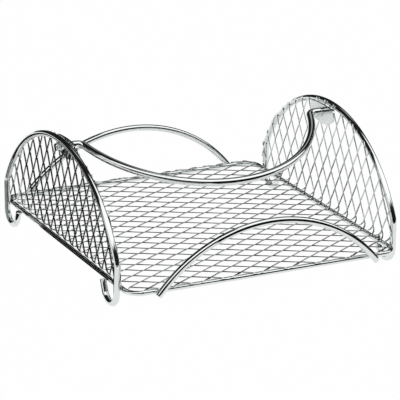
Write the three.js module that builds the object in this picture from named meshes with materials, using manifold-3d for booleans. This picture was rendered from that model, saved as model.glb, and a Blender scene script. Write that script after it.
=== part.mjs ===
// Napkin holder: a flat tray of expanded metal in a frame of bent chromed wire, with a hold-down arm.
// Millimetres, +Z up. X runs from one end frame to the other, Y from the open front to the open rear.
// The origin is on the table under the middle of the tray.
import * as THREE from 'three';
import { mergeVertices } from 'three/addons/utils/BufferGeometryUtils.js';
import Module from 'manifold-3d';

// Clearances
const WELD_GAP = 0.3; // between two pieces that are welded or lie on each other
const PIVOT_GAP = 0.4; // round the arm where it turns

// Wires
const END_WIRE = 4.0;
const RING_WIRE = 3.2;
const SIDE_WIRE = 4.2;
const ARM_WIRE = 4.8;

// End frames: an arch on two legs, each leg turned under into a foot
const END_SPAN = 190; // between the planes of the two end frames
const LEG_SPAN = 170.4;
const ARCH_TOP = 82;
const KINK_HEIGHT = 29; // where the arch meets the legs
const KINK_BEND = 6;
const FOOT_BEND = 8.7;
const FOOT_TURN = 155; // degrees from the falling leg to the rising tip

// Base ring
const RING_HEIGHT = 13;
const RAIL_SPAN = 193; // between the front and rear rails
const RING_CORNER = 9;

// Side arches
const SIDE_CHORD = 149;
const SIDE_TOP = 47.5;
const SIDE_END_DROP = 1.8; // how far the ends reach below the ring's centreline

// Expanded metal sheet
const SHEET = 0.7; // thickness
const STRAND = 1.0; // width
const STRAND_TILT = 45; // degrees that each strand is turned out of the sheet, facing the rear
const HEM = 1.3; // thickness of the closed edge along the rails and the end frames
const HEM_WIDTH = 1.6;
const SHEET_BEND = 5; // radius of the fold between floor and end panel, in the middle of the sheet
const DIAMONDS_LONG = 14; // whole diamonds from one pivot to the other, along the sheet
const DIAMONDS_ACROSS = 17; // whole diamonds from the front rail to the rear rail

// Pivot plates
const PLATE = 1.2; // thickness
const PLATE_WIDTH = 31;
const PLATE_DROP = 8.2; // from the pivot to the rounded lower edge

// Hold-down arm
const ARM_DEPTH = 60.7; // from the pivot axis to the middle of the bow
const ARM_BEND = 5;
const ARM_SHOULDER = 5.6; // straight stretch inside each pivot plate
const ARM_TIP = 0.5; // how far the ends reach past the end frames
const ARM_TILT = 73.8; // degrees forward from hanging straight down

// Facets
const WIRE_SIDES = 8;
const ARM_SIDES = 10;
const ARCH_STEPS = 20;
const BEND_STEPS = 4;
const FOLD_STEPS = 3;
const HOLE_SIDES = 12;
const FOOT_STEP = 20; // degrees, with one step lying flat on the table

// Places that follow from the sizes above
const END_X = END_SPAN / 2;
const LEG_Y = LEG_SPAN / 2;
const FACET_SHRINK = Math.cos(Math.PI / WIRE_SIDES);
const FOOT_CENTRE_Y = LEG_Y - FOOT_BEND;
const FOOT_REACH = FOOT_BEND * Math.cos(THREE.MathUtils.degToRad(FOOT_STEP / 2));
const FOOT_CENTRE_Z = FOOT_REACH + END_WIRE / 2 * FACET_SHRINK;
const ARCH_RISE = ARCH_TOP - KINK_HEIGHT;
const ARCH_RADIUS = (LEG_Y ** 2 + ARCH_RISE ** 2) / (2 * ARCH_RISE);
const ARCH_CENTRE = ARCH_TOP - ARCH_RADIUS;
const ARCH_END = THREE.MathUtils.radToDeg(Math.asin((KINK_HEIGHT - ARCH_CENTRE) / ARCH_RADIUS));
const RING_X = END_X - END_WIRE / 2 - WELD_GAP - RING_WIRE / 2;
const RAIL_Y = RAIL_SPAN / 2;
const SIDE_Y = RAIL_Y + RING_WIRE / 2 + WELD_GAP + SIDE_WIRE / 2;
const LEAN = THREE.MathUtils.degToRad(STRAND_TILT);
const SHEET_RISE = STRAND * Math.sin(LEAN) + SHEET / 2 * Math.cos(LEAN); // each way from its middle
const FLOOR_Z = RING_HEIGHT + RING_WIRE / 2 + WELD_GAP + SHEET_RISE;
const PANEL_X = END_X - END_WIRE / 2 - WELD_GAP - SHEET_RISE;
const FOLD_X = PANEL_X - SHEET_BEND;
const PLATE_X = PANEL_X - SHEET_RISE - WELD_GAP - PLATE / 2;
const PIVOT_Z = ARCH_TOP - END_WIRE / 2 - PIVOT_GAP - ARM_WIRE / 2;
const FOLD_LENGTH = SHEET_BEND * Math.PI / 2;
const LONG_PITCH = 2 * (FOLD_X + FOLD_LENGTH + PIVOT_Z - FLOOR_Z - SHEET_BEND) / DIAMONDS_LONG;
const SHORT_PITCH = RAIL_SPAN / DIAMONDS_ACROSS;

const X_AXIS = new THREE.Vector3(1, 0, 0);
const Y_AXIS = new THREE.Vector3(0, 1, 0);
const Z_AXIS = new THREE.Vector3(0, 0, 1);

const wasm = await Module();
wasm.setup();

// A closed geometry as a solid that can be joined and cut.
function solid(geometry) {
  const bare = geometry.clone();
  bare.deleteAttribute('normal');
  bare.deleteAttribute('uv');
  const merged = mergeVertices(bare, 1e-4);
  return new wasm.Manifold(new wasm.Mesh({
    numProp: 3,
    vertProperties: new Float32Array(merged.attributes.position.array),
    triVerts: new Uint32Array(merged.index.array),
  }));
}

// The geometry of a solid.
function geometryOf(body) {
  const { vertProperties, triVerts } = body.getMesh();
  const geometry = new THREE.BufferGeometry();
  geometry.setAttribute('position', new THREE.BufferAttribute(new Float32Array(vertProperties), 3));
  geometry.setIndex(new THREE.BufferAttribute(new Uint32Array(triVerts), 1));
  geometry.computeVertexNormals();
  return geometry;
}

// A run of stations that a section is swept along, with its own directions at each station.
class Run extends THREE.Curve {
  constructor(stations, normals, binormals) {
    super();
    this.stations = stations;
    this.normals = normals;
    this.binormals = binormals;
  }

  getPoint(t, target = new THREE.Vector3()) {
    const place = t * (this.stations.length - 1);
    const index = Math.min(Math.floor(place), this.stations.length - 2);
    return target.lerpVectors(this.stations[index], this.stations[index + 1], place - index);
  }

  getSpacedPoints() {
    return this.stations;
  }

  computeFrenetFrames() {
    return { normals: this.normals, binormals: this.binormals };
  }
}

function sweep(section, run) {
  return new THREE.ExtrudeGeometry(section, { steps: run.stations.length - 1, extrudePath: run });
}

// A run through stations in one plane, mitred where it turns.
function flatRun(stations, planeNormal) {
  const normals = stations.map((station, i) => {
    const before = station.clone().sub(stations[Math.max(i - 1, 0)]).normalize();
    const after = stations[Math.min(i + 1, stations.length - 1)].clone().sub(station).normalize();
    const tangent = before.clone().add(after).normalize();
    const stretch = 1 / Math.max(tangent.dot(before), tangent.dot(after));
    return new THREE.Vector3().crossVectors(planeNormal, tangent).multiplyScalar(stretch);
  });
  return new Run(stations, normals, stations.map(() => planeNormal));
}

function polar(centreX, centreY, radius, degrees) {
  const angle = THREE.MathUtils.degToRad(degrees);
  return new THREE.Vector2(centreX + radius * Math.cos(angle), centreY + radius * Math.sin(angle));
}

// Points of a round stretch between two angles in degrees.
function arc(centreX, centreY, radius, from, to, steps) {
  const angles = Array.from({ length: steps + 1 }, (_, i) => from + (to - from) * i / steps);
  return angles.map((degrees) => polar(centreX, centreY, radius, degrees));
}

function roundSection(diameter, sides) {
  const turn = 180 / sides;
  return new THREE.Shape(arc(0, 0, diameter / 2, turn, 360 + turn, sides).slice(0, -1));
}

function flatSection(thickness, width) {
  const shape = new THREE.Shape();
  shape.moveTo(-thickness / 2, -width / 2);
  shape.lineTo(thickness / 2, -width / 2);
  shape.lineTo(thickness / 2, width / 2);
  shape.lineTo(-thickness / 2, width / 2);
  return shape;
}

function bentWire(points, place, planeNormal, diameter, sides = WIRE_SIDES) {
  return sweep(roundSection(diameter, sides), flatRun(points.map(place), planeNormal));
}

// End frame, drawn from foot to foot over the arch, as y and z in the plane of the right end.
function endFrame() {
  const steps = Math.floor(FOOT_TURN / FOOT_STEP);
  const foot = arc(FOOT_CENTRE_Y, FOOT_CENTRE_Z, FOOT_BEND, 0, -steps * FOOT_STEP, steps);
  const footEnd = polar(FOOT_CENTRE_Y, FOOT_CENTRE_Z, FOOT_BEND, -FOOT_TURN);
  const rise = polar(0, 0, 1, -FOOT_TURN - 90);
  const tip = footEnd.clone().addScaledVector(rise, (RING_HEIGHT - footEnd.y) / rise.y);

  // The kink is a small arc that turns the falling arch into the upright leg.
  const kinkTurn = THREE.MathUtils.degToRad(ARCH_END);
  const kinkReach = KINK_BEND * Math.tan(kinkTurn / 2);
  const kink = arc(LEG_Y - KINK_BEND, KINK_HEIGHT - kinkReach, KINK_BEND, 0, ARCH_END, 2);
  const shave = THREE.MathUtils.radToDeg(kinkReach / ARCH_RADIUS);
  const half = [tip, footEnd, ...foot.reverse(), ...kink];
  const arch = arc(0, ARCH_CENTRE, ARCH_RADIUS, ARCH_END + shave, 180 - ARCH_END - shave, ARCH_STEPS);
  const mirrored = half.map((p) => new THREE.Vector2(-p.x, p.y)).reverse();
  const points = [...half, ...arch, ...mirrored];
  return bentWire(points, (p) => new THREE.Vector3(END_X, p.x, p.y), X_AXIS, END_WIRE);
}

// Base ring: two equal halves, butt-joined in the middle of the front and rear rails.
function baseRing() {
  const cornerX = RING_X - RING_CORNER;
  const cornerY = RAIL_Y - RING_CORNER;
  const half = [
    new THREE.Vector2(0, -RAIL_Y),
    ...arc(cornerX, -cornerY, RING_CORNER, -90, 0, BEND_STEPS),
    ...arc(cornerX, cornerY, RING_CORNER, 0, 90, BEND_STEPS),
    new THREE.Vector2(0, RAIL_Y),
  ];
  const right = bentWire(half, (p) => new THREE.Vector3(p.x, p.y, RING_HEIGHT), Z_AXIS, RING_WIRE);
  const left = right.clone().rotateZ(Math.PI);
  return geometryOf(solid(right).add(solid(left)));
}

// Side arch on the front rail, with both ends cut off level just below the ring.
function sideArch() {
  const low = RING_HEIGHT - SIDE_END_DROP;
  const rise = SIDE_TOP - low;
  const radius = ((SIDE_CHORD / 2) ** 2 + rise ** 2) / (2 * rise);
  const start = THREE.MathUtils.radToDeg(Math.asin((radius - rise) / radius));
  const points = arc(0, SIDE_TOP - radius, radius, start, 180 - start, ARCH_STEPS);
  const place = (p) => new THREE.Vector3(p.x, -SIDE_Y, p.y);
  return bentWire(points, place, Y_AXIS.clone().negate(), SIDE_WIRE);
}

// Expanded metal lying flat, over a range of bond columns and rows: bonds where two strands meet, and
// the strands between them, all tilted to face one way. X runs along the long diagonals. Strands get an
// extra cut at each fold line that they cross.
function expandedMetal(firstColumn, lastColumn, lastRow, facing, foldLines = []) {
  const stepX = LONG_PITCH / 2;
  const stepY = SHORT_PITCH / 2;
  const angle = Math.atan2(stepY, stepX);
  const halfWidth = STRAND * Math.cos(LEAN) / 2;
  const bondX = halfWidth / Math.sin(angle);
  const bondY = halfWidth / Math.cos(angle);
  const bondZ = -facing * STRAND * Math.sin(LEAN);
  const skin = new THREE.Vector3(0, facing * Math.sin(LEAN), Math.cos(LEAN)).multiplyScalar(SHEET / 2);
  const points = [];
  const quad = (a, b, c, d) => points.push(a, b, c, a, c, d);
  const upper = (p) => p.clone().add(skin);
  const lower = (p) => p.clone().sub(skin);
  const wall = (a, b) => quad(lower(a), lower(b), upper(b), upper(a));
  const slab = (...ring) => {
    quad(...ring.map(upper));
    quad(...ring.reverse().map(lower));
  };
  const isBond = (i, j) => {
    const inside = i >= firstColumn && i <= lastColumn && Math.abs(j) <= lastRow;
    return inside && (i + j) % 2 !== 0;
  };

  // A strand leaves the side of a bond between two of its corners and ends at the next bond.
  const strand = (right, left, rise) => {
    const run = new THREE.Vector3(stepX - bondX, rise * (stepY - bondY), -rise * bondZ);
    const cutAt = (start, x) => start.clone().addScaledVector(run, (x - start.x) / run.x);
    const from = Math.max(right.x, left.x);
    const to = Math.min(right.x, left.x) + run.x;
    const cuts = foldLines.filter((x) => x > from && x < to);
    const rights = [right, ...cuts.map((x) => cutAt(right, x)), right.clone().add(run)];
    const lefts = [left, ...cuts.map((x) => cutAt(left, x)), left.clone().add(run)];
    for (let k = 0; k + 1 < rights.length; k++) {
      slab(rights[k], rights[k + 1], lefts[k + 1], lefts[k]);
      wall(rights[k], rights[k + 1]);
      wall(lefts[k + 1], lefts[k]);
    }
  };

  for (let i = firstColumn; i <= lastColumn; i++) {
    for (let j = -lastRow; j <= lastRow; j++) {
      if (!isBond(i, j)) {
        continue;
      }
      const east = new THREE.Vector3(i * stepX + bondX, j * stepY, 0);
      const north = new THREE.Vector3(i * stepX, j * stepY + bondY, bondZ);
      const west = new THREE.Vector3(i * stepX - bondX, j * stepY, 0);
      const south = new THREE.Vector3(i * stepX, j * stepY - bondY, -bondZ);
      slab(south, east, north, west);
      const sides = [[east, north, 1, 1], [north, west, -1, 1], [west, south, -1, -1], [south, east, 1, -1]];
      for (const [a, b, nextI, nextJ] of sides) {
        if (!isBond(i + nextI, j + nextJ)) {
          wall(a, b);
        } else if (nextI > 0) {
          strand(a, b, nextJ);
        }
      }
    }
  }
  return new THREE.BufferGeometry().setFromPoints(points);
}

// Folds a flat sheet up along the right end: X becomes the length along the fold and then the height.
function foldUp(geometry) {
  const position = geometry.attributes.position;
  for (let i = 0; i < position.count; i++) {
    const past = position.getX(i) - FOLD_X;
    const inward = position.getZ(i);
    const turn = THREE.MathUtils.clamp(past / SHEET_BEND, 0, Math.PI / 2);
    const radius = SHEET_BEND - inward;
    const x = FOLD_X + Math.min(past, 0) + radius * Math.sin(turn);
    const z = FLOOR_Z + SHEET_BEND - radius * Math.cos(turn) + Math.max(past - FOLD_LENGTH, 0);
    position.setXYZ(i, x, position.getY(i), z);
  }
  return geometry;
}

// Floor of the tray, hemmed along the rails and cut open at the folds, where the end panels carry on.
function floorMesh() {
  const end = FOLD_X - WELD_GAP / 2;
  const columns = Math.ceil(2 * end / LONG_PITCH) + 1;
  const sheet = expandedMetal(-columns, columns, DIAMONDS_ACROSS, 1);
  const cutter = new THREE.BoxGeometry(2 * end, 2 * END_X + RAIL_SPAN, 4 * SHEET_RISE);
  let body = solid(sheet).intersect(solid(cutter));
  for (const y of [-RAIL_Y, RAIL_Y]) {
    body = body.add(solid(new THREE.BoxGeometry(2 * end, HEM_WIDTH, HEM).translate(0, y, 0)));
  }
  return geometryOf(body).translate(0, 0, FLOOR_Z);
}

// End panel at the right: the fold and the upright part, hemmed along the legs and the arch. Its strands
// face the rear or, for a panel that is turned round to the left end, the front.
function panelMesh(facing) {
  const start = FOLD_X + WELD_GAP / 2;
  const foldLines = Array.from({ length: FOLD_STEPS + 1 }, (_, i) => FOLD_X + FOLD_LENGTH * i / FOLD_STEPS);
  const rise = FOLD_X + FOLD_LENGTH - FLOOR_Z - SHEET_BEND; // from a height to a place on the flat sheet
  const first = Math.floor(2 * start / LONG_PITCH) - 1;
  const last = Math.ceil(2 * (ARCH_TOP + rise) / LONG_PITCH) + 1;
  const rows = Math.ceil(LEG_SPAN / SHORT_PITCH) + 1;
  const sheet = foldUp(expandedMetal(first, last, rows, facing, foldLines));

  const edge = LEG_Y - HEM_WIDTH / 2;
  const radius = ARCH_RADIUS - HEM_WIDTH / 2;
  const arcEnd = THREE.MathUtils.radToDeg(Math.acos(edge / radius));
  const rim = arc(0, ARCH_CENTRE, radius, arcEnd, 180 - arcEnd, ARCH_STEPS);
  const leg = [start, ...foldLines.slice(1)].map((x) => new THREE.Vector3(x, edge, 0));
  const arch = rim.map((p) => new THREE.Vector3(p.y + rise, p.x, 0));
  const mirrored = leg.map((p) => new THREE.Vector3(p.x, -edge, 0)).reverse();
  const hem = foldUp(sweep(flatSection(HEM_WIDTH, HEM), flatRun([...leg, ...arch, ...mirrored], Z_AXIS)));

  const outline = new THREE.Shape(rim);
  outline.lineTo(-edge, 0);
  outline.lineTo(edge, 0);
  const envelope = new THREE.ExtrudeGeometry(outline, { depth: END_X - start, bevelEnabled: false });
  envelope.applyMatrix4(new THREE.Matrix4().makeBasis(Y_AXIS, Z_AXIS, X_AXIS)).translate(start, 0, 0);
  return geometryOf(solid(sheet).intersect(solid(envelope)).add(solid(hem)));
}

// Pivot plate at the right: an oval with the arm's hole, cut off along the arch that it is welded under.
function pivotPlate() {
  const oval = new THREE.Shape();
  oval.absellipse(0, PIVOT_Z, PLATE_WIDTH / 2, PLATE_DROP, 0, 2 * Math.PI);
  const pressing = { depth: PLATE, bevelEnabled: false, curveSegments: HOLE_SIDES };
  const blank = new THREE.ExtrudeGeometry(oval, pressing);
  const holeRadius = ARM_WIRE / 2 + PIVOT_GAP;
  const hole = new THREE.CylinderGeometry(holeRadius, holeRadius, 4 * PLATE, HOLE_SIDES);
  hole.rotateX(Math.PI / 2).translate(0, PIVOT_Z, 0);
  const cap = new THREE.CylinderGeometry(ARCH_RADIUS, ARCH_RADIUS, 4 * PLATE, 3 * ARCH_STEPS);
  cap.rotateX(Math.PI / 2).translate(0, ARCH_CENTRE, 0);
  const plate = geometryOf(solid(blank).intersect(solid(cap)).subtract(solid(hole)));
  plate.applyMatrix4(new THREE.Matrix4().makeBasis(Y_AXIS, Z_AXIS, X_AXIS));
  return plate.translate(PLATE_X - PLATE / 2, 0, 0);
}

// Hold-down arm, hanging from the pivot axis: a round bow whose ends turn out along the axis.
function holdDownArm() {
  const shoulder = PLATE_X - PLATE / 2 - ARM_SHOULDER;
  const radius = (shoulder ** 2 + ARM_DEPTH ** 2) / (2 * ARM_DEPTH) - ARM_BEND;
  const centre = radius - ARM_DEPTH;
  const lean = THREE.MathUtils.radToDeg(Math.atan2(centre + ARM_BEND, shoulder));
  const tip = new THREE.Vector2(END_X + END_WIRE / 2 + ARM_TIP, 0);
  const bend = arc(shoulder, -ARM_BEND, ARM_BEND, 90, 180 - lean, BEND_STEPS);
  const half = [tip, ...bend.slice(0, -1)];
  const bow = arc(0, centre, radius, -lean, lean - 180, ARCH_STEPS);
  const mirrored = half.map((p) => new THREE.Vector2(-p.x, p.y)).reverse();
  const points = [...half, ...bow, ...mirrored];
  const place = (p) => new THREE.Vector3(p.x, 0, p.y);
  return bentWire(points, place, Y_AXIS.clone().negate(), ARM_WIRE, ARM_SIDES);
}

function chrome(color, roughness) {
  return new THREE.MeshStandardMaterial({ color, roughness, metalness: 1 });
}

function named(name, geometry, material) {
  const mesh = new THREE.Mesh(geometry, material);
  mesh.name = name;
  return mesh;
}

const WIRE_COLOUR = 0xdfe1e3;
const SHEET_COLOUR = 0xc9cccf;
const holder = new THREE.Group();
holder.add(named('base_ring', baseRing(), chrome(WIRE_COLOUR, 0.08)));
holder.add(named('floor_mesh', floorMesh(), chrome(SHEET_COLOUR, 0.2)));

const ends = { frame: endFrame(), plate: pivotPlate() };
const side = sideArch();
for (const [end, rail, turn, facing] of [['right', 'front', 0, 1], ['left', 'rear', Math.PI, -1]]) {
  const half = new THREE.Group();
  half.rotation.z = turn;
  half.add(named(`${end}_end_frame`, ends.frame, chrome(WIRE_COLOUR, 0.08)));
  half.add(named(`${end}_panel_mesh`, panelMesh(facing), chrome(SHEET_COLOUR, 0.2)));
  half.add(named(`${end}_pivot_plate`, ends.plate, chrome(WIRE_COLOUR, 0.15)));
  half.add(named(`${rail}_side_arch`, side, chrome(WIRE_COLOUR, 0.08)));
  holder.add(half);
}

const arm = named('hold_down_arm', holdDownArm(), chrome(WIRE_COLOUR, 0.08));
arm.position.z = PIVOT_Z;
arm.rotation.x = -THREE.MathUtils.degToRad(ARM_TILT);
holder.add(arm);

export default holder;
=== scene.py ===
"""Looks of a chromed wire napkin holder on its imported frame.

X runs from the left end frame to the right one, Y from the open front to the open rear, and Z is
up. The holder's sizes are in millimetres and its angles in degrees. The finishes and the studio
are given in metres.
"""

import logging
import math
from dataclasses import dataclass, field
from enum import Enum

import bmesh
import bpy
from mathutils import Matrix, Vector

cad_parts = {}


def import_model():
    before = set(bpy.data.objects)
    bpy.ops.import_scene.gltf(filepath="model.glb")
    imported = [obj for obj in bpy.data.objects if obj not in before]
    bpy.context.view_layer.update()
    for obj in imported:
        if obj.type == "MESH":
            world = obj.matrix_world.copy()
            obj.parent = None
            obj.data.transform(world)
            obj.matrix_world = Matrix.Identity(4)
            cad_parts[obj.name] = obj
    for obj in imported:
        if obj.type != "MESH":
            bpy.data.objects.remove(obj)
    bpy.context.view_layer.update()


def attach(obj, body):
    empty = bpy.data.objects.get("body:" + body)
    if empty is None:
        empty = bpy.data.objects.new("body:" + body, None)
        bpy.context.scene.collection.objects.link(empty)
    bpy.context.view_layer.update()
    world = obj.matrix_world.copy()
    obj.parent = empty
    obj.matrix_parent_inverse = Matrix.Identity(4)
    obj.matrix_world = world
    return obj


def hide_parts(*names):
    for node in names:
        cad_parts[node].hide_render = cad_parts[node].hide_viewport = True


LOG = logging.getLogger("napkin_holder")
MM = 0.001
X_AXIS = Vector((1.0, 0.0, 0.0))
Y_AXIS = Vector((0.0, 1.0, 0.0))
Z_AXIS = Vector((0.0, 0.0, 1.0))
PIVOT_Z = 77.2
WHITE = (1.0, 1.0, 1.0, 1.0)
# Tones of the cards seen only in the metal: dark cards paint the table's shade near the frame and
# dark surroundings further off; the white card paints a light reflection on the rear-left leg.
DARK_PAPER = 0.02
WHITE_PAPER = 0.9
CARD_LIFT = 0.0005

Colour = tuple[float, float, float]
Spot = tuple[float, float, float]
Ring = list[bmesh.types.BMVert]


class Body(Enum):
    """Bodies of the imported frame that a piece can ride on."""

    HOLDER = "holder"
    ARM = "arm"


class Slot(Enum):
    """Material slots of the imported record."""

    WIRE = "wire"
    SHEET = "sheet"
    PLATE = "plate"


class Side(Enum):
    """A side of the tray, by the sign of its axis."""

    @property
    def word(self) -> str:
        """The side's name in lower case."""
        return self.name.lower()


class End(Side):
    """The two ends of the tray, by the sign of X."""

    LEFT = -1
    RIGHT = 1


class Rail(Side):
    """The two long rails of the tray, by the sign of Y."""

    FRONT = -1
    REAR = 1


class Nodes:
    """Adds shader nodes to one tree and joins them."""

    def __init__(self, tree: bpy.types.NodeTree) -> None:
        """Starts from an empty tree.

        Args:
            tree: The node tree of a material or of the world.
        """
        self.tree = tree
        tree.nodes.clear()

    def put(self, socket: bpy.types.NodeSocket, value: object) -> None:
        """Sets a socket, or joins it to another one.

        Args:
            socket: The socket that takes the value.
            value: A number, a colour, a direction or the socket to join it to.
        """
        if isinstance(value, bpy.types.NodeSocket):
            self.tree.links.new(value, socket)
        else:
            socket.default_value = value

    def add(self, kind: str, **inputs: object) -> bpy.types.Node:
        """Adds a node and sets its inputs by name.

        Args:
            kind: The node's type name without its ShaderNode start.
            inputs: What goes into each socket, by its name with _ for each blank.

        Returns:
            The new node.
        """
        node = self.tree.nodes.new("ShaderNode" + kind)
        for name, value in inputs.items():
            self.put(node.inputs[name.replace("_", " ")], value)
        return node

    def add_in_order(self, kind: str, *inputs: object) -> bpy.types.Node:
        """Adds a node and sets its first inputs in their order.

        Args:
            kind: The node's type name without its ShaderNode start.
            inputs: What goes into each socket.

        Returns:
            The new node.
        """
        node = self.tree.nodes.new("ShaderNode" + kind)
        for socket, value in zip(node.inputs, inputs):
            self.put(socket, value)
        return node

    def reckon(self, operation: str, first: object, second: object) -> bpy.types.NodeSocket:
        """Works out one value from two others.

        Args:
            operation: The name of the sum.
            first: A number or a socket.
            second: A number or a socket.

        Returns:
            The socket with the result.
        """
        node = self.add_in_order("Math", first, second)
        node.operation = operation
        return node.outputs[0]

    def soft_step(self, value: bpy.types.NodeSocket, start: float, stop: float,
                  top: float) -> bpy.types.NodeSocket:
        """Rises softly from nothing to a top.

        Args:
            value: What the step depends on.
            start: The value at which the rise starts from 0.
            stop: The value at which it reaches the top.
            top: The height of the step.

        Returns:
            The socket with the result.
        """
        node = self.add("MapRange", Value=value, From_Min=start, From_Max=stop,
                        To_Min=0.0, To_Max=top)
        node.interpolation_type = "SMOOTHSTEP"
        return node.outputs[0]


def blank_material(name: str) -> tuple[bpy.types.Material, Nodes]:
    """Makes a material that has no nodes yet.

    Args:
        name: The material's name.

    Returns:
        The material and its nodes.
    """
    made = bpy.data.materials.new(name)
    made.use_nodes = True
    return made, Nodes(made.node_tree)


@dataclass(frozen=True)
class ChromeFinish:
    """Chrome plating with a faint cloudiness, a rippled skin and fine polishing marks."""

    name: str
    bright: Colour
    cloudy: Colour
    smooth: float
    dull: float
    cloud_scale: float
    ripple_scale: float
    ripple_depth: float
    mark_scale: tuple[float, float, float]
    cloud_detail: float = 4.0
    cloud_roughness: float = 0.6
    cloud_stops: tuple[float, float] = (0.35, 0.65)
    mark_detail: float = 2.0
    mark_roughness: float = 0.7
    ripple_detail: float = 1.0
    haze_range: tuple[float, float] = (0.1, 0.45)

    def material(self) -> bpy.types.Material:
        """Builds the node material.

        Returns:
            The material, made once for each name.
        """
        found = bpy.data.materials.get(self.name)
        if found:
            return found
        made, nodes = blank_material(self.name)
        place = nodes.add("TexCoord").outputs["Object"]
        cloud = nodes.add("TexNoise", Vector=place, Scale=self.cloud_scale,
                          Detail=self.cloud_detail, Roughness=self.cloud_roughness)
        stretch = nodes.add("Mapping", Vector=place, Scale=self.mark_scale)
        marks = nodes.add("TexNoise", Vector=stretch.outputs[0], Scale=1.0,
                          Detail=self.mark_detail, Roughness=self.mark_roughness)
        ripple = nodes.add("TexNoise", Vector=place, Scale=self.ripple_scale,
                           Detail=self.ripple_detail)

        tone = nodes.add("ValToRGB", Fac=cloud.outputs["Fac"])
        colours = (self.cloudy, self.bright)
        for stop, spot, colour in zip(tone.color_ramp.elements, self.cloud_stops, colours):
            stop.position = spot
            stop.color = (*colour, 1.0)
        haze = nodes.reckon("MULTIPLY", cloud.outputs["Fac"], marks.outputs["Fac"])
        clear, hazy = self.haze_range
        gloss = nodes.add("MapRange", Value=haze, From_Min=clear, From_Max=hazy,
                          To_Min=self.smooth, To_Max=self.dull)
        bump = nodes.add("Bump", Height=ripple.outputs["Fac"], Strength=1.0,
                         Distance=self.ripple_depth)
        skin = nodes.add("BsdfPrincipled", Base_Color=tone.outputs[0], Roughness=gloss.outputs[0],
                         Normal=bump.outputs[0], Metallic=1.0)
        nodes.add("OutputMaterial", Surface=skin.outputs[0])
        return made


WIRE_CHROME = ChromeFinish(
    name="bright_wire_chrome", bright=(0.74, 0.77, 0.765), cloudy=(0.70, 0.735, 0.73),
    smooth=0.03, dull=0.08, cloud_scale=60.0, ripple_scale=180.0, ripple_depth=0.00002,
    mark_scale=(900.0, 900.0, 900.0))
SHEET_CHROME = ChromeFinish(
    name="expanded_sheet_chrome", bright=(0.70, 0.73, 0.725), cloudy=(0.62, 0.65, 0.645),
    smooth=0.10, dull=0.22, cloud_scale=140.0, ripple_scale=420.0, ripple_depth=0.00003,
    mark_scale=(300.0, 1600.0, 1600.0))
PLATE_CHROME = ChromeFinish(
    name="pressed_plate_chrome", bright=(0.72, 0.755, 0.75), cloudy=(0.68, 0.715, 0.71),
    smooth=0.12, dull=0.24, cloud_scale=90.0, ripple_scale=150.0, ripple_depth=0.00003,
    mark_scale=(400.0, 300.0, 2600.0))


def arc(centre: tuple[float, float], radius: float, start: float, stop: float,
        step: float) -> list[Vector]:
    """Points of a round stretch in a plane.

    Args:
        centre: Middle of the stretch.
        radius: Its radius.
        start: First angle in degrees.
        stop: Last angle in degrees.
        step: Greatest length from one point to the next.

    Returns:
        The points, with both ends.
    """
    turn = math.radians(stop - start)
    count = max(2, math.ceil(abs(turn) * radius / step))
    angles = [math.radians(start) + turn * i / count for i in range(count + 1)]
    x, y = centre
    return [Vector((x + radius * math.cos(a), y + radius * math.sin(a))) for a in angles]


def mirrored(points: list[Vector]) -> list[Vector]:
    """The same points on the other side of the second axis, in reverse."""
    return [Vector((-p.x, p.y)) for p in reversed(points)]


def belt(mesh: bmesh.types.BMesh, low: Ring, high: Ring) -> None:
    """Closes the space between two rings with four-sided faces.

    Args:
        mesh: The mesh that takes the faces.
        low: One ring.
        high: The other ring, with as many vertices.
    """
    for k in range(len(low)):
        n = (k + 1) % len(low)
        mesh.faces.new((low[k], low[n], high[n], high[k]))


def finished_piece(name: str, mesh: bmesh.types.BMesh) -> bpy.types.Object:
    """Turns a mesh in millimetres into an object in metres, with smooth faces.

    Args:
        name: The piece's name.
        mesh: The mesh, which is freed.

    Returns:
        The new object.
    """
    bmesh.ops.recalc_face_normals(mesh, faces=mesh.faces)
    bmesh.ops.scale(mesh, vec=(MM, MM, MM), verts=mesh.verts)
    for face in mesh.faces:
        face.smooth = True
    data = bpy.data.meshes.new(name)
    mesh.to_mesh(data)
    mesh.free()
    piece = bpy.data.objects.new(name, data)
    bpy.context.scene.collection.objects.link(piece)
    return piece


def dress(piece: bpy.types.Object, finish: ChromeFinish, slot: Slot, body: Body,
          *nodes: str) -> None:
    """Gives a piece its finish and ties it to the frame.

    Args:
        piece: The piece.
        finish: What it is plated with.
        slot: The record's slot for that finish; not used.
        body: The body that it moves with.
        nodes: The nodes that it stands for.
    """
    piece.data.materials.append(finish.material())
    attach(piece, body.value)
    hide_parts(*nodes)
    LOG.info("%s: %d faces on %s", piece.name, len(piece.data.polygons), body.value)


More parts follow.
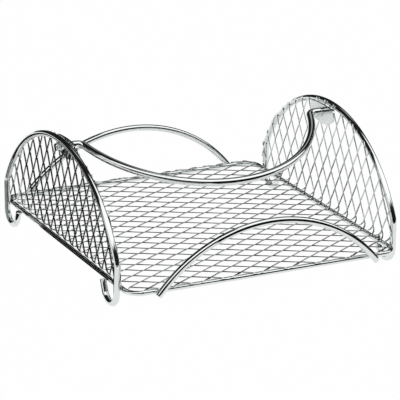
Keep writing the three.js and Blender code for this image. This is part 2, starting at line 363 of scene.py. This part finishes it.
@dataclass
class Wire:
    """A round wire bent in one plane, with softly rounded cut ends, or closed into a ring."""

    name: str
    path: list[Vector]
    across: Vector
    diameter: float
    closed: bool = False
    sides: int = 24
    cut_edge: float = 0.45
    cut_turns: tuple[int, ...] = (30, 60, 90)

    def directions(self) -> list[Vector]:
        """Finds the wire's direction at each point of its path.

        Returns:
            One direction for each point.
        """
        last = len(self.path) - 1
        found = []
        for i in range(len(self.path)):
            before = self.path[i - 1 if self.closed or i else 0]
            after = self.path[(i + 1) % (last + 1) if self.closed else min(i + 1, last)]
            found.append((after - before).normalized())
        return found

    def build(self) -> bpy.types.Object:
        """Sweeps the round section along the path.

        Returns:
            The wire as an object.
        """
        mesh = bmesh.new()
        directions = self.directions()
        radius = self.diameter / 2
        rings = [self.ring(mesh, p, d, radius) for p, d in zip(self.path, directions)]
        if self.closed:
            rings.append(rings[0])
        else:
            start = self.cut_rings(mesh, self.path[0], -directions[0], directions[0])
            stop = self.cut_rings(mesh, self.path[-1], directions[-1], directions[-1])
            rings = [*reversed(start), *rings, *stop]
            mesh.faces.new(rings[0])
            mesh.faces.new(rings[-1])
        for low, high in zip(rings, rings[1:]):
            belt(mesh, low, high)
        return finished_piece(self.name, mesh)

    def ring(self, mesh: bmesh.types.BMesh, place: Vector, direction: Vector,
             radius: float) -> Ring:
        """Adds one ring of vertices across the wire.

        Args:
            mesh: The mesh that takes the vertices.
            place: Middle of the ring.
            direction: The wire's direction there.
            radius: The ring's radius.

        Returns:
            The vertices in order.
        """
        side = self.across.cross(direction).normalized()
        turns = [2 * math.pi * k / self.sides for k in range(self.sides)]
        ways = [math.cos(turn) * side + math.sin(turn) * self.across for turn in turns]
        return [mesh.verts.new(place + radius * way) for way in ways]

    def cut_rings(self, mesh: bmesh.types.BMesh, place: Vector, outward: Vector,
                  direction: Vector) -> list[Ring]:
        """Adds the shrinking rings that round off a cut end.

        Args:
            mesh: The mesh that takes the vertices.
            place: The end of the path.
            outward: The way out of the wire.
            direction: The wire's own direction there.

        Returns:
            The rings from the wire outwards.
        """
        rings = []
        for degrees in self.cut_turns:
            turn = math.radians(degrees)
            inset = self.cut_edge * (1 - math.cos(turn))
            out = place + outward * self.cut_edge * math.sin(turn)
            rings.append(self.ring(mesh, out, direction, self.diameter / 2 - inset))
        return rings


@dataclass
class EndFrame:
    """One end frame: a half-round arch on two legs.

    Each leg is turned under into a foot that rises to the base ring.
    """

    end: End
    wire: float = 4.0
    plane_x: float = 95.0
    leg_y: float = 85.2
    arch_top: float = 82.0
    arch_step: float = 2.0
    kink_height: float = 29.0
    kink_bend: float = 6.0
    kink_step: float = 0.5
    foot_bend: float = 8.7
    foot_turn: float = 155.0
    foot_step: float = 0.7
    tip_height: float = 13.0

    @property
    def arch_radius(self) -> float:
        """Radius of the arch's centreline."""
        rise = self.arch_top - self.kink_height
        return (self.leg_y ** 2 + rise ** 2) / (2 * rise)

    @property
    def arch_centre(self) -> float:
        """Height of the arch's centre."""
        return self.arch_top - self.arch_radius

    def path(self) -> list[Vector]:
        """Bends the wire from foot to foot.

        Returns:
            The points of its centreline, in the end's own plane.
        """
        foot_centre = (self.leg_y - self.foot_bend, self.foot_bend + self.wire / 2)
        foot = arc(foot_centre, self.foot_bend, -self.foot_turn, 0, self.foot_step)
        rise = math.radians(-self.foot_turn - 90)
        climb = Vector((math.cos(rise), math.sin(rise)))
        tip = foot[0] + climb * (self.tip_height - foot[0].y) / climb.y

        lean = math.degrees(math.asin((self.kink_height - self.arch_centre) / self.arch_radius))
        reach = self.kink_bend * math.tan(math.radians(lean) / 2)
        kink_centre = (self.leg_y - self.kink_bend, self.kink_height - reach)
        kink = arc(kink_centre, self.kink_bend, 0, lean, self.kink_step)
        start = lean + math.degrees(reach / self.arch_radius)
        half = [tip, *foot, *kink]
        over = arc((0, self.arch_centre), self.arch_radius, start, 180 - start, self.arch_step)
        return [*half, *over, *mirrored(half)]

    def build(self) -> None:
        """Makes the wire and dresses it."""
        x = self.end.value * self.plane_x
        points = [Vector((x, p.x, p.y)) for p in self.path()]
        name = f"{self.end.word}_end_frame"
        wire = Wire(f"{name}_wire", points, X_AXIS, self.wire)
        dress(wire.build(), WIRE_CHROME, Slot.WIRE, Body.HOLDER, name)


@dataclass
class BaseRing:
    """The closed wire ring under the tray, with round corners."""

    wire: float = 3.2
    half_x: float = 91.1
    rail_y: float = 96.5
    height: float = 13.0
    corner: float = 9.0
    corner_step: float = 0.7

    def build(self) -> None:
        """Makes the ring and dresses it."""
        x, y = self.half_x - self.corner, self.rail_y - self.corner
        corners = [((x, -y), -90), ((x, y), 0), ((-x, y), 90), ((-x, -y), 180)]
        outline = [p for centre, start in corners
                   for p in arc(centre, self.corner, start, start + 90, self.corner_step)]
        points = [Vector((p.x, p.y, self.height)) for p in outline]
        ring = Wire("base_ring_wire", points, Z_AXIS, self.wire, closed=True)
        dress(ring.build(), WIRE_CHROME, Slot.WIRE, Body.HOLDER, "base_ring")


@dataclass
class SideArch:
    """A low arch of wire on the outside of one long rail."""

    rail: Rail
    wire: float = 4.2
    plane_y: float = 100.5
    chord: float = 149.0
    top: float = 47.5
    end_height: float = 11.2
    arch_step: float = 2.0

    def build(self) -> None:
        """Makes the arch and dresses it."""
        rise = self.top - self.end_height
        radius = ((self.chord / 2) ** 2 + rise ** 2) / (2 * rise)
        start = math.degrees(math.asin((radius - rise) / radius))
        flat = arc((0, self.top - radius), radius, start, 180 - start, self.arch_step)
        points = [Vector((p.x, self.rail.value * self.plane_y, p.y)) for p in flat]
        name = f"{self.rail.word}_side_arch"
        wire = Wire(f"{name}_wire", points, Y_AXIS, self.wire)
        dress(wire.build(), WIRE_CHROME, Slot.WIRE, Body.HOLDER, name)


@dataclass
class HoldDownArm:
    """The swinging arm: a round bow of thick wire whose ends turn out along the pivot axis."""

    wire: float = 4.8
    sides: int = 28
    depth: float = 60.7
    bow_step: float = 1.5
    bend: float = 5.0
    bend_step: float = 0.4
    shoulder_x: float = 83.69
    tip_x: float = 97.5
    pivot_z: float = PIVOT_Z
    tilt: float = 73.8

    def path(self) -> list[Vector]:
        """Bends the arm as it hangs from its axis.

        Returns:
            The points of its centreline, as distances along the axis and below it.
        """
        radius = (self.shoulder_x ** 2 + self.depth ** 2) / (2 * self.depth) - self.bend
        centre = radius - self.depth
        lean = math.degrees(math.atan2(centre + self.bend, self.shoulder_x))
        tip = Vector((self.tip_x, 0.0))
        bend_centre = (self.shoulder_x, -self.bend)
        bend = arc(bend_centre, self.bend, 90, 180 - lean, self.bend_step)
        half = [tip, *bend[:-1]]
        bow = arc((0, centre), radius, -lean, lean - 180, self.bow_step)
        return [*half, *bow, *mirrored(half)]

    def build(self) -> None:
        """Makes the arm at its photographed tilt and dresses it."""
        tilt = math.radians(self.tilt)
        down = Vector((0.0, math.sin(tilt), math.cos(tilt)))
        pivot = Vector((0.0, 0.0, self.pivot_z))
        points = [pivot + X_AXIS * p.x + down * p.y for p in self.path()]
        across = X_AXIS.cross(down)
        wire = Wire("hold_down_arm_wire", points, across, self.wire, sides=self.sides)
        dress(wire.build(), WIRE_CHROME, Slot.WIRE, Body.ARM, "hold_down_arm")


@dataclass
class PivotPlate:
    """A flat oval plate under the top of one arch, with the arm's hole."""

    end: End
    frame: EndFrame
    middle_x: float = 89.89
    thickness: float = 1.2
    half_width: float = 15.5
    drop: float = 8.2
    hole: float = 5.6
    pivot_z: float = PIVOT_Z
    points: int = 96
    edge: float = 0.25
    edge_steps: int = 3
    edge_angle: float = 40.0

    def rim(self, angle: float) -> float:
        """Distance from the pivot to the edge.

        Args:
            angle: Direction from the pivot, from +Y towards +Z, in radians.

        Returns:
            The nearer of the oval's edge and the arch that cuts it off.
        """
        y, z = math.cos(angle), math.sin(angle)
        oval = 1 / math.hypot(y / self.half_width, z / self.drop)
        offset = self.pivot_z - self.frame.arch_centre
        along = -offset * z
        under = along + math.sqrt(along ** 2 + self.frame.arch_radius ** 2 - offset ** 2)
        return min(oval, under)

    def rings(self, mesh: bmesh.types.BMesh, x: float) -> tuple[Ring, Ring]:
        """Adds the outline of one face.

        Args:
            mesh: The mesh that takes the vertices.
            x: Place of the face.

        Returns:
            The ring round the hole and the ring along the edge.
        """
        pivot = Vector((x, 0.0, self.pivot_z))
        inner, outer = [], []
        for k in range(self.points):
            angle = 2 * math.pi * k / self.points
            way = Vector((0.0, math.cos(angle), math.sin(angle)))
            inner.append(mesh.verts.new(pivot + way * self.hole / 2))
            outer.append(mesh.verts.new(pivot + way * self.rim(angle)))
        return inner, outer

    def build(self) -> None:
        """Makes the plate with rounded edges and dresses it."""
        mesh = bmesh.new()
        half, side = self.thickness / 2, self.end.value
        near_hole, near_rim = self.rings(mesh, side * (self.middle_x - half))
        far_hole, far_rim = self.rings(mesh, side * (self.middle_x + half))
        around = (near_hole, near_rim, far_rim, far_hole, near_hole)
        for low, high in zip(around, around[1:]):
            belt(mesh, low, high)
        name = f"{self.end.word}_pivot_plate"
        plate = finished_piece(f"{name}_oval", mesh)
        rounding = plate.modifiers.new("rounded edges", "BEVEL")
        rounding.width = self.edge * MM
        rounding.segments = self.edge_steps
        rounding.limit_method = "ANGLE"
        rounding.angle_limit = math.radians(self.edge_angle)
        rounding.harden_normals = True
        dress(plate, PLATE_CHROME, Slot.PLATE, Body.HOLDER, name)


@dataclass
class MeshTray:
    """The sheet of expanded metal: a floor and two folded-up ends, wrapped round the wires.

    A place on the flat sheet is u along the long diagonals of the diamonds, v across them and w
    off the sheet, into the tray. Bonds are the spots where two strands meet. The cut strands reach
    round a wire by the wrap, a skin's breadth off it, and are pressed flat over the flattening
    before it. The stops are the shares of a strand at which it has a cross-section.
    """

    frame: EndFrame
    ring: BaseRing
    thickness: float = 0.54
    strand: float = 1.0
    tilt: float = 14.0
    floor_z: float = 15.2
    panel_x: float = 92.45
    fold: float = 3.2
    fold_margin: float = 1.0
    step: tuple[float, float] = (10.3, 5.5)
    skew: tuple[float, float] = (-0.14, 0.16)
    shift: tuple[float, float] = (1.7, -0.2)
    columns: int = 17
    rows: int = 20
    wrap: float = 1.8
    flattening: float = 4.0
    skin: float = 0.05
    plain_stops: tuple[float, ...] = (0.0, 0.06, 0.94, 1.0)
    close_stops: tuple[float, ...] = (0.0, 0.06, 0.2, 0.35, 0.5, 0.65, 0.8, 0.94, 1.0)
    shortest_share: float = 0.02
    halvings: int = 24
    weld_digits: int = 3
    edge_crease: float = 1.0
    smoothing: int = 1
    vertices: dict[tuple[float, ...], bmesh.types.BMVert] = field(default_factory=dict)
    creases: list[tuple[bmesh.types.BMVert, ...]] = field(default_factory=list)

    @property
    def fold_x(self) -> float:
        """Where the floor starts to bend up."""
        return self.panel_x - self.fold

    @property
    def fold_length(self) -> float:
        """Length of sheet in the bend."""
        return self.fold * math.pi / 2

    @property
    def bond(self) -> tuple[float, float, float]:
        """Works out the size of a tilted bond.

        Returns:
            Its half length, half width and half height.
        """
        slope = math.atan2(self.step[1], self.step[0])
        lean = math.radians(self.tilt)
        half = self.strand * math.cos(lean) / 2
        return half / math.sin(slope), half / math.cos(slope), -self.strand * math.sin(lean)

    def middle(self, i: int, j: int) -> Vector:
        """Finds the middle of a bond on the slightly skew sheet.

        Args:
            i: Half diamonds along the sheet.
            j: Half diamonds across it.

        Returns:
            The place on the flat sheet.
        """
        along = self.shift[0] + i * self.step[0] + j * self.skew[0]
        across = self.shift[1] + j * self.step[1] + i * self.skew[1]
        return Vector((along, across, 0.0))

    def height(self, u: float) -> float:
        """Height of a place on an end panel, above the fold."""
        return self.floor_z + self.fold + abs(u) - self.fold_x - self.fold_length

    def beyond(self, u: float, v: float) -> tuple[float, Vector]:
        """How far a place lies past the middle of the wire that holds the sheet's edge.

        Args:
            u: Place along the sheet.
            v: Place across it.

        Returns:
            The distance, negative inside, and the direction of the edge on the flat sheet.
        """
        side = math.copysign(1.0, v)
        if abs(u) <= self.fold_x:
            past_x = abs(u) - self.ring.half_x + self.ring.corner
            past_y = abs(v) - self.ring.rail_y + self.ring.corner
            if past_x > 0 and past_y > 0:
                out = Vector((math.copysign(past_x, u), side * past_y))
                return out.length - self.ring.corner, out.normalized()
            return abs(v) - self.ring.rail_y, Vector((0.0, side))
        rise = self.height(u) - self.frame.arch_centre
        out = Vector((rise, v))
        if out.length - self.frame.arch_radius > abs(v) - self.frame.leg_y:
            return out.length - self.frame.arch_radius, out.normalized()
        return abs(v) - self.frame.leg_y, Vector((0.0, side))

    def flatness(self, past: float) -> float:
        """How far the strands are pressed flat, from 0 on the open sheet to 1 on a wire."""
        share = min(max(1 + past / self.flattening, 0.0), 1.0)
        return share * share * (3 - 2 * share)

    def place(self, u: float, v: float, w: float) -> Vector:
        """Folds and wraps a place of the flat sheet.

        Args:
            u: Place along the sheet.
            v: Place across it.
            w: Place off it, into the tray.

        Returns:
            The place in the holder.
        """
        past, out = self.beyond(u, v)
        hand = math.copysign(1.0, u)
        on_floor = abs(u) <= self.fold_x
        wire, gap = self.ring.wire, self.floor_z - self.ring.height
        if not on_floor:
            wire, gap = self.frame.wire, self.frame.plane_x - self.panel_x
        snug = wire / 2 + self.thickness / 2 + self.skin
        w += (snug - gap) * self.flatness(past)
        turn = max(past, 0.0) / snug
        lift = (gap + w) * math.sin(turn) - max(past, 0.0)
        sink = (gap + w) * (1 - math.cos(turn))
        if on_floor:
            return Vector((u + out.x * lift, v + out.y * lift, self.floor_z + w - sink))
        run = abs(u) - self.fold_x
        if run < self.fold_length:
            depth = self.fold - w + sink
            bend = run / self.fold
            x = self.fold_x + depth * math.sin(bend)
            z = self.floor_z + self.fold - depth * math.cos(bend)
        else:
            x, z = self.panel_x - w + sink, self.height(u) + out.x * lift
        return Vector((hand * x, v + out.y * lift, z))

    def vertex(self, mesh: bmesh.types.BMesh, flat: Vector, face: int) -> bmesh.types.BMVert:
        """One vertex of the sheet, shared by the faces that meet there.

        Args:
            mesh: The mesh that takes it.
            flat: Its place on the middle of the flat sheet.
            face: 1 for the upper face of the sheet and -1 for the lower one.

        Returns:
            The vertex.
        """
        key = (*(round(c, self.weld_digits) for c in flat), face)
        if key not in self.vertices:
            raised = 1 - self.flatness(self.beyond(flat.x, flat.y)[0])
            lean = math.radians(self.tilt) * raised
            half = face * self.thickness / 2
            across = flat.y + half * math.sin(lean)
            off = flat.z * raised + half * math.cos(lean)
            self.vertices[key] = mesh.verts.new(self.place(flat.x, across, off))
        return self.vertices[key]

    def slab(self, mesh: bmesh.types.BMesh, corners: list[Vector]) -> None:
        """Adds the upper and lower face over four corners."""
        for face in (1, -1):
            mesh.faces.new([self.vertex(mesh, c, face) for c in corners])

    def wall(self, mesh: bmesh.types.BMesh, first: Vector, second: Vector) -> None:
        """Adds the side between two corners, with its two edges kept crisp.

        Args:
            mesh: The mesh that takes it.
            first: One corner on the middle of the flat sheet.
            second: The other corner.
        """
        low = [self.vertex(mesh, c, -1) for c in (first, second)]
        high = [self.vertex(mesh, c, 1) for c in (second, first)]
        mesh.faces.new([*low, *high])
        self.creases += [tuple(low), tuple(high)]

    def cut(self, start: Vector, stop: Vector) -> float:
        """The share of a strand's edge that lies on the sheet.

        Args:
            start: Its end on the sheet.
            stop: Its end past the sheet's edge.

        Returns:
            From 0 to 1.
        """
        low, high = 0.0, 1.0
        for _ in range(self.halvings):
            share = (low + high) / 2
            spot = start.lerp(stop, share)
            if self.beyond(spot.x, spot.y)[0] < self.wrap:
                low = share
            else:
                high = share
        return low

    def strand_between(self, mesh: bmesh.types.BMesh, right: Vector, left: Vector, run: Vector,
                       whole: bool) -> None:
        """Adds one strand that leaves a bond between two of its corners.

        Args:
            mesh: The mesh that takes it.
            right: The corner on its right.
            left: The corner on its left.
            run: From those corners to the next bond.
            whole: False where the strand ends at the sheet's edge.
        """
        ends = [right + run, left + run]
        shares = [1.0, 1.0] if whole else [self.cut(right, ends[0]), self.cut(left, ends[1])]
        if min(shares) < self.shortest_share:
            self.wall(mesh, right, left)
            return
        near, far = sorted((abs(right.x), abs(ends[0].x)))
        bend_start = self.fold_x - self.fold_margin
        bend_stop = self.fold_x + self.fold_length + self.fold_margin
        folded = far > bend_start and near < bend_stop
        stops = self.close_stops if folded or not whole else self.plain_stops
        rights = [right.lerp(ends[0], shares[0] * stop) for stop in stops]
        lefts = [left.lerp(ends[1], shares[1] * stop) for stop in stops]
        for i in range(len(stops) - 1):
            self.slab(mesh, [rights[i], rights[i + 1], lefts[i + 1], lefts[i]])
            self.wall(mesh, rights[i], rights[i + 1])
            self.wall(mesh, lefts[i + 1], lefts[i])
        if not whole:
            self.wall(mesh, rights[-1], lefts[-1])

    def weave(self, mesh: bmesh.types.BMesh) -> None:
        """Adds every bond that lies on the sheet, with the strands between them.

        Args:
            mesh: The mesh that takes them.
        """
        long, wide, tall = self.bond
        columns, rows = (range(-count, count + 1) for count in (self.columns, self.rows))
        margin = min(self.wrap - long, wide)
        bonds = {(i, j) for i in columns for j in rows
                 if (i + j) % 2 and self.beyond(*self.middle(i, j).xy)[0] < margin}
        for i, j in sorted(bonds):
            middle = self.middle(i, j)
            east, west = middle + Vector((long, 0, 0)), middle - Vector((long, 0, 0))
            north, south = middle + Vector((0, wide, tall)), middle - Vector((0, wide, tall))
            self.slab(mesh, [south, east, north, west])
            ways = ((east, north, 1, 1), (north, west, -1, 1),
                    (west, south, -1, -1), (south, east, 1, -1))
            for right, left, next_i, next_j in ways:
                joined = (i + next_i, j + next_j) in bonds
                if joined and next_i < 0:
                    continue  # made from the bond at its other end
                corner = Vector((next_i * long, next_j * wide, next_j * tall))
                run = self.middle(i + next_i, j + next_j) - middle - corner
                self.strand_between(mesh, right, left, run, joined)

    def build(self) -> None:
        """Makes the folded sheet with crisp strand edges and dresses it."""
        mesh = bmesh.new()
        self.weave(mesh)
        crease = mesh.edges.layers.float.new("crease_edge")
        for first, second in self.creases:
            edge = mesh.edges.get((first, second))
            edge[crease] = self.edge_crease
            edge.smooth = False
        sheet = finished_piece("expanded_metal_tray", mesh)
        soften = sheet.modifiers.new("softened strands", "SUBSURF")
        soften.levels = soften.render_levels = self.smoothing
        dress(sheet, SHEET_CHROME, Slot.SHEET, Body.HOLDER,
              "floor_mesh", "left_panel_mesh", "right_panel_mesh")


@dataclass(frozen=True)
class Softbox:
    """A large soft light, seen from the object as a round patch of the room.

    Its spread and its soft edge are angles in degrees.
    """

    towards: tuple[float, float, float]
    spread: float
    edge: float
    light: float

    def patch(self, nodes: Nodes, way: bpy.types.NodeSocket) -> bpy.types.NodeSocket:
        """Adds the patch to the world's nodes.

        Args:
            nodes: The world's nodes.
            way: The direction that is looked in.

        Returns:
            The socket with the patch's light in that direction.
        """
        facing = nodes.add_in_order("VectorMath", way, Vector(self.towards).normalized())
        facing.operation = "DOT_PRODUCT"
        outer = math.cos(math.radians(self.spread + self.edge))
        inner = math.cos(math.radians(self.spread - self.edge))
        return nodes.soft_step(facing.outputs["Value"], outer, inner, self.light)


@dataclass(frozen=True)
class LightBank:
    """A long bank of lights under the ceiling.

    Its edges are places one metre above the object. A direction flatter than the lowest rise
    counts as that rise.
    """

    left: float
    right: float
    front: float
    rear: float
    light: float
    edge: float = 0.05
    lowest_rise: float = 0.02

    def patch(self, nodes: Nodes, way: bpy.types.NodeSocket) -> bpy.types.NodeSocket:
        """Adds the bank to the world's nodes.

        Args:
            nodes: The world's nodes.
            way: The direction that is looked in.

        Returns:
            The socket with the bank's light in that direction.
        """
        parts = nodes.add("SeparateXYZ", Vector=way).outputs
        rise = nodes.reckon("MAXIMUM", parts["Z"], self.lowest_rise)
        share = self.light
        for axis, low, high in (("X", self.left, self.right), ("Y", self.front, self.rear)):
            spot = nodes.reckon("DIVIDE", parts[axis], rise)
            for place, outward in ((low, -1), (high, 1)):
                soft = outward * self.edge * (1 + place ** 2)
                rim = nodes.soft_step(spot, place + soft, place - soft, 1.0)
                share = nodes.reckon("MULTIPLY", share, rim)
        return share


@dataclass(frozen=True)
class Card:
    """A dark or white card that lies or stands on the table and is only mirrored in the metal. The
    dark cards under and beside the frame paint the table's shade there; the white card paints a
    light reflection on a leg.
    """

    name: str
    tone: float
    corners: tuple[Spot, ...]

    def build(self) -> None:
        """Puts the card in its place."""
        mesh = bmesh.new()
        mesh.faces.new([mesh.verts.new(Vector(corner) / MM) for corner in self.corners])
        card = finished_piece(self.name, mesh)
        made, nodes = blank_material(f"{self.name}_paper")
        paper = nodes.add("BsdfDiffuse", Color=(self.tone, self.tone, self.tone, 1.0))
        nodes.add("OutputMaterial", Surface=paper.outputs[0])
        card.data.materials.append(made)
        card.visible_camera = card.visible_diffuse = card.visible_shadow = False


def lying(*spots: tuple[float, float]) -> tuple[Spot, ...]:
    """Corners that lie on the table, a hair above it."""
    return tuple((x, y, CARD_LIFT) for x, y in spots)


@dataclass
class Studio:
    """White table, lights, dark surroundings and cards of painted shade and painted reflection,
    with the camera where the photograph was taken.

    The camera's yaw, pitch and roll are in radians, its lens and sensor in millimetres.
    """

    banks: tuple[LightBank, ...] = (
        LightBank(left=0.1, right=2.7, front=-0.95, rear=0.2, light=1.4),
        LightBank(left=-1.05, right=0.25, front=-1.1, rear=-0.2, light=1.4),
        LightBank(left=-2.2, right=-0.95, front=-0.95, rear=-0.08, light=1.2),
        LightBank(left=0.1, right=0.8, front=0.55, rear=0.95, light=0.42))
    left_side: Softbox = Softbox(towards=(-1.0, 0.0, 0.08), spread=20.0, edge=4.0, light=1.0)
    cards: tuple[Card, ...] = (
        # Painted shade on the table under and beside the left end, running out into darker table
        # at the rear left; seen only in the metal.
        Card("left_dark_card", DARK_PAPER, lying(
            (-0.085, 0.045), (-0.13, 0.1), (-0.2, 0.4), (-0.6, 0.6), (-0.5, 0.2), (-0.3, 0.1),
            (-0.2, -0.02), (-0.16, -0.06), (-0.085, -0.06))),
        # Painted reflection: a white card standing by the rear-left leg, seen only in the metal,
        # puts a light reflection on the leg.
        Card("left_painted_reflection_card", WHITE_PAPER, (
            (-0.1, 0.07, 0.0), (-0.122, 0.1, 0.0), (-0.122, 0.1, 0.035), (-0.1, 0.07, 0.035))),
        # Painted shade: a dark card on the table under the right end frame, where its shadow
        # falls, seen only in the metal.
        Card("right_painted_shade_card", DARK_PAPER, lying(
            (0.0925, -0.06), (0.1035, -0.06), (0.1035, 0.05), (0.0925, 0.05))),
        # Painted shade: a dark strip of table beside the right end frame, behind it, seen only in
        # the metal.
        Card("right_rear_painted_shade_card", DARK_PAPER, lying(
            (0.0925, 0.1), (0.1035, 0.1), (0.1035, 0.175), (0.0925, 0.175))),
        Card("front_left_dark_card", DARK_PAPER, lying(
            (-0.04, -0.24), (-0.16, -0.2), (-0.8, -0.6), (-0.8, -0.9), (0.0, -0.9))),
        Card("front_dark_card", DARK_PAPER, (
            *lying((0.0, -0.165), (0.36, -0.24)), (0.4, -0.4, 0.15), (-0.05, -0.22, 0.15))))
    table_half: float = 6.0
    table_cells: int = 4
    table_tone: float = 0.92
    table_glow: float = 0.99
    room_light: float = 0.015
    wall_light: float = 1.0
    camera_place: Spot = (-0.68153, -1.356497, 0.55753)
    yaw: float = 0.467
    pitch: float = 0.335
    roll: float = 0.016
    lens: float = 227.28
    sensor: float = 36.0

    def seen(self, nodes: Nodes) -> bpy.types.NodeSocket:
        """Tells apart the rays that show the table from those that it lights.

        Args:
            nodes: The table's nodes.

        Returns:
            The socket with 1 for rays from the camera, from metal or through glass, else 0.
        """
        path = nodes.add("LightPath").outputs
        direct = nodes.reckon("MAXIMUM", path["Is Camera Ray"], path["Is Glossy Ray"])
        return nodes.reckon("MAXIMUM", direct, path["Is Transmission Ray"])

    def table(self) -> None:
        """Lays the white table top, which keeps a faint shadow."""
        mesh = bmesh.new()
        bmesh.ops.create_grid(mesh, x_segments=self.table_cells, y_segments=self.table_cells,
                              size=self.table_half / MM)
        table = finished_piece("table_top", mesh)
        made, nodes = blank_material("white_table")
        tone = self.table_tone
        paper = nodes.add("BsdfDiffuse", Color=(tone, tone, tone, 1.0))
        glow = nodes.add("Emission", Color=WHITE, Strength=1.0)
        share = nodes.reckon("MULTIPLY", self.seen(nodes), self.table_glow)
        both = nodes.add_in_order("MixShader", share, paper.outputs[0], glow.outputs[0])
        nodes.add("OutputMaterial", Surface=both.outputs[0])
        table.data.materials.append(made)

    def light(self) -> None:
        """Sets the lights and the dark room round the table, and the camera's white wall."""
        world = bpy.data.worlds.new("studio")
        world.use_nodes = True
        bpy.context.scene.world = world
        nodes = Nodes(world.node_tree)
        way = nodes.add("TexCoord").outputs["Generated"]
        lights = self.left_side.patch(nodes, way)
        for bank in self.banks:
            lights = nodes.reckon("MAXIMUM", lights, bank.patch(nodes, way))
        lights = nodes.reckon("MAXIMUM", lights, self.room_light)
        room = nodes.add("Background", Color=WHITE, Strength=lights)
        wall = nodes.add("Background", Color=WHITE, Strength=self.wall_light)
        from_camera = nodes.add("LightPath").outputs["Is Camera Ray"]
        both = nodes.add_in_order("MixShader", from_camera, room.outputs[0], wall.outputs[0])
        nodes.add("OutputWorld", Surface=both.outputs[0])

    def camera(self) -> None:
        """Puts the camera at the photograph's view."""
        run = math.cos(self.pitch)
        forward = Vector((math.sin(self.yaw) * run, math.cos(self.yaw) * run,
                          -math.sin(self.pitch)))
        level = Vector((math.cos(self.yaw), -math.sin(self.yaw), 0.0))
        upright = level.cross(forward)
        right = math.cos(self.roll) * level + math.sin(self.roll) * upright
        up = math.cos(self.roll) * upright - math.sin(self.roll) * level
        data = bpy.data.cameras.new("photo_camera")
        data.sensor_width = self.sensor
        data.lens = self.lens
        camera = bpy.data.objects.new("photo_camera", data)
        turn = Matrix((right, up, -forward)).transposed().to_4x4()
        camera.matrix_world = Matrix.Translation(Vector(self.camera_place)) @ turn
        bpy.context.scene.collection.objects.link(camera)
        bpy.context.scene.camera = camera

    def build(self) -> None:
        """Sets up the whole studio."""
        bpy.context.scene.view_settings.view_transform = "Standard"
        self.table()
        self.light()
        for card in self.cards:
            card.build()
        self.camera()


def main() -> None:
    """Loads the frame and builds each sub-assembly in order."""
    logging.basicConfig(level=logging.INFO, format="%(name)s %(message)s")
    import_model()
    Studio().build()
    ring = BaseRing()
    ring.build()
    frames = {end: EndFrame(end) for end in End}
    for end, frame in frames.items():
        frame.build()
        PivotPlate(end, frame).build()
    for rail in Rail:
        SideArch(rail).build()
    MeshTray(frames[End.RIGHT], ring).build()
    HoldDownArm().build()


if __name__ == "__main__":
    main()
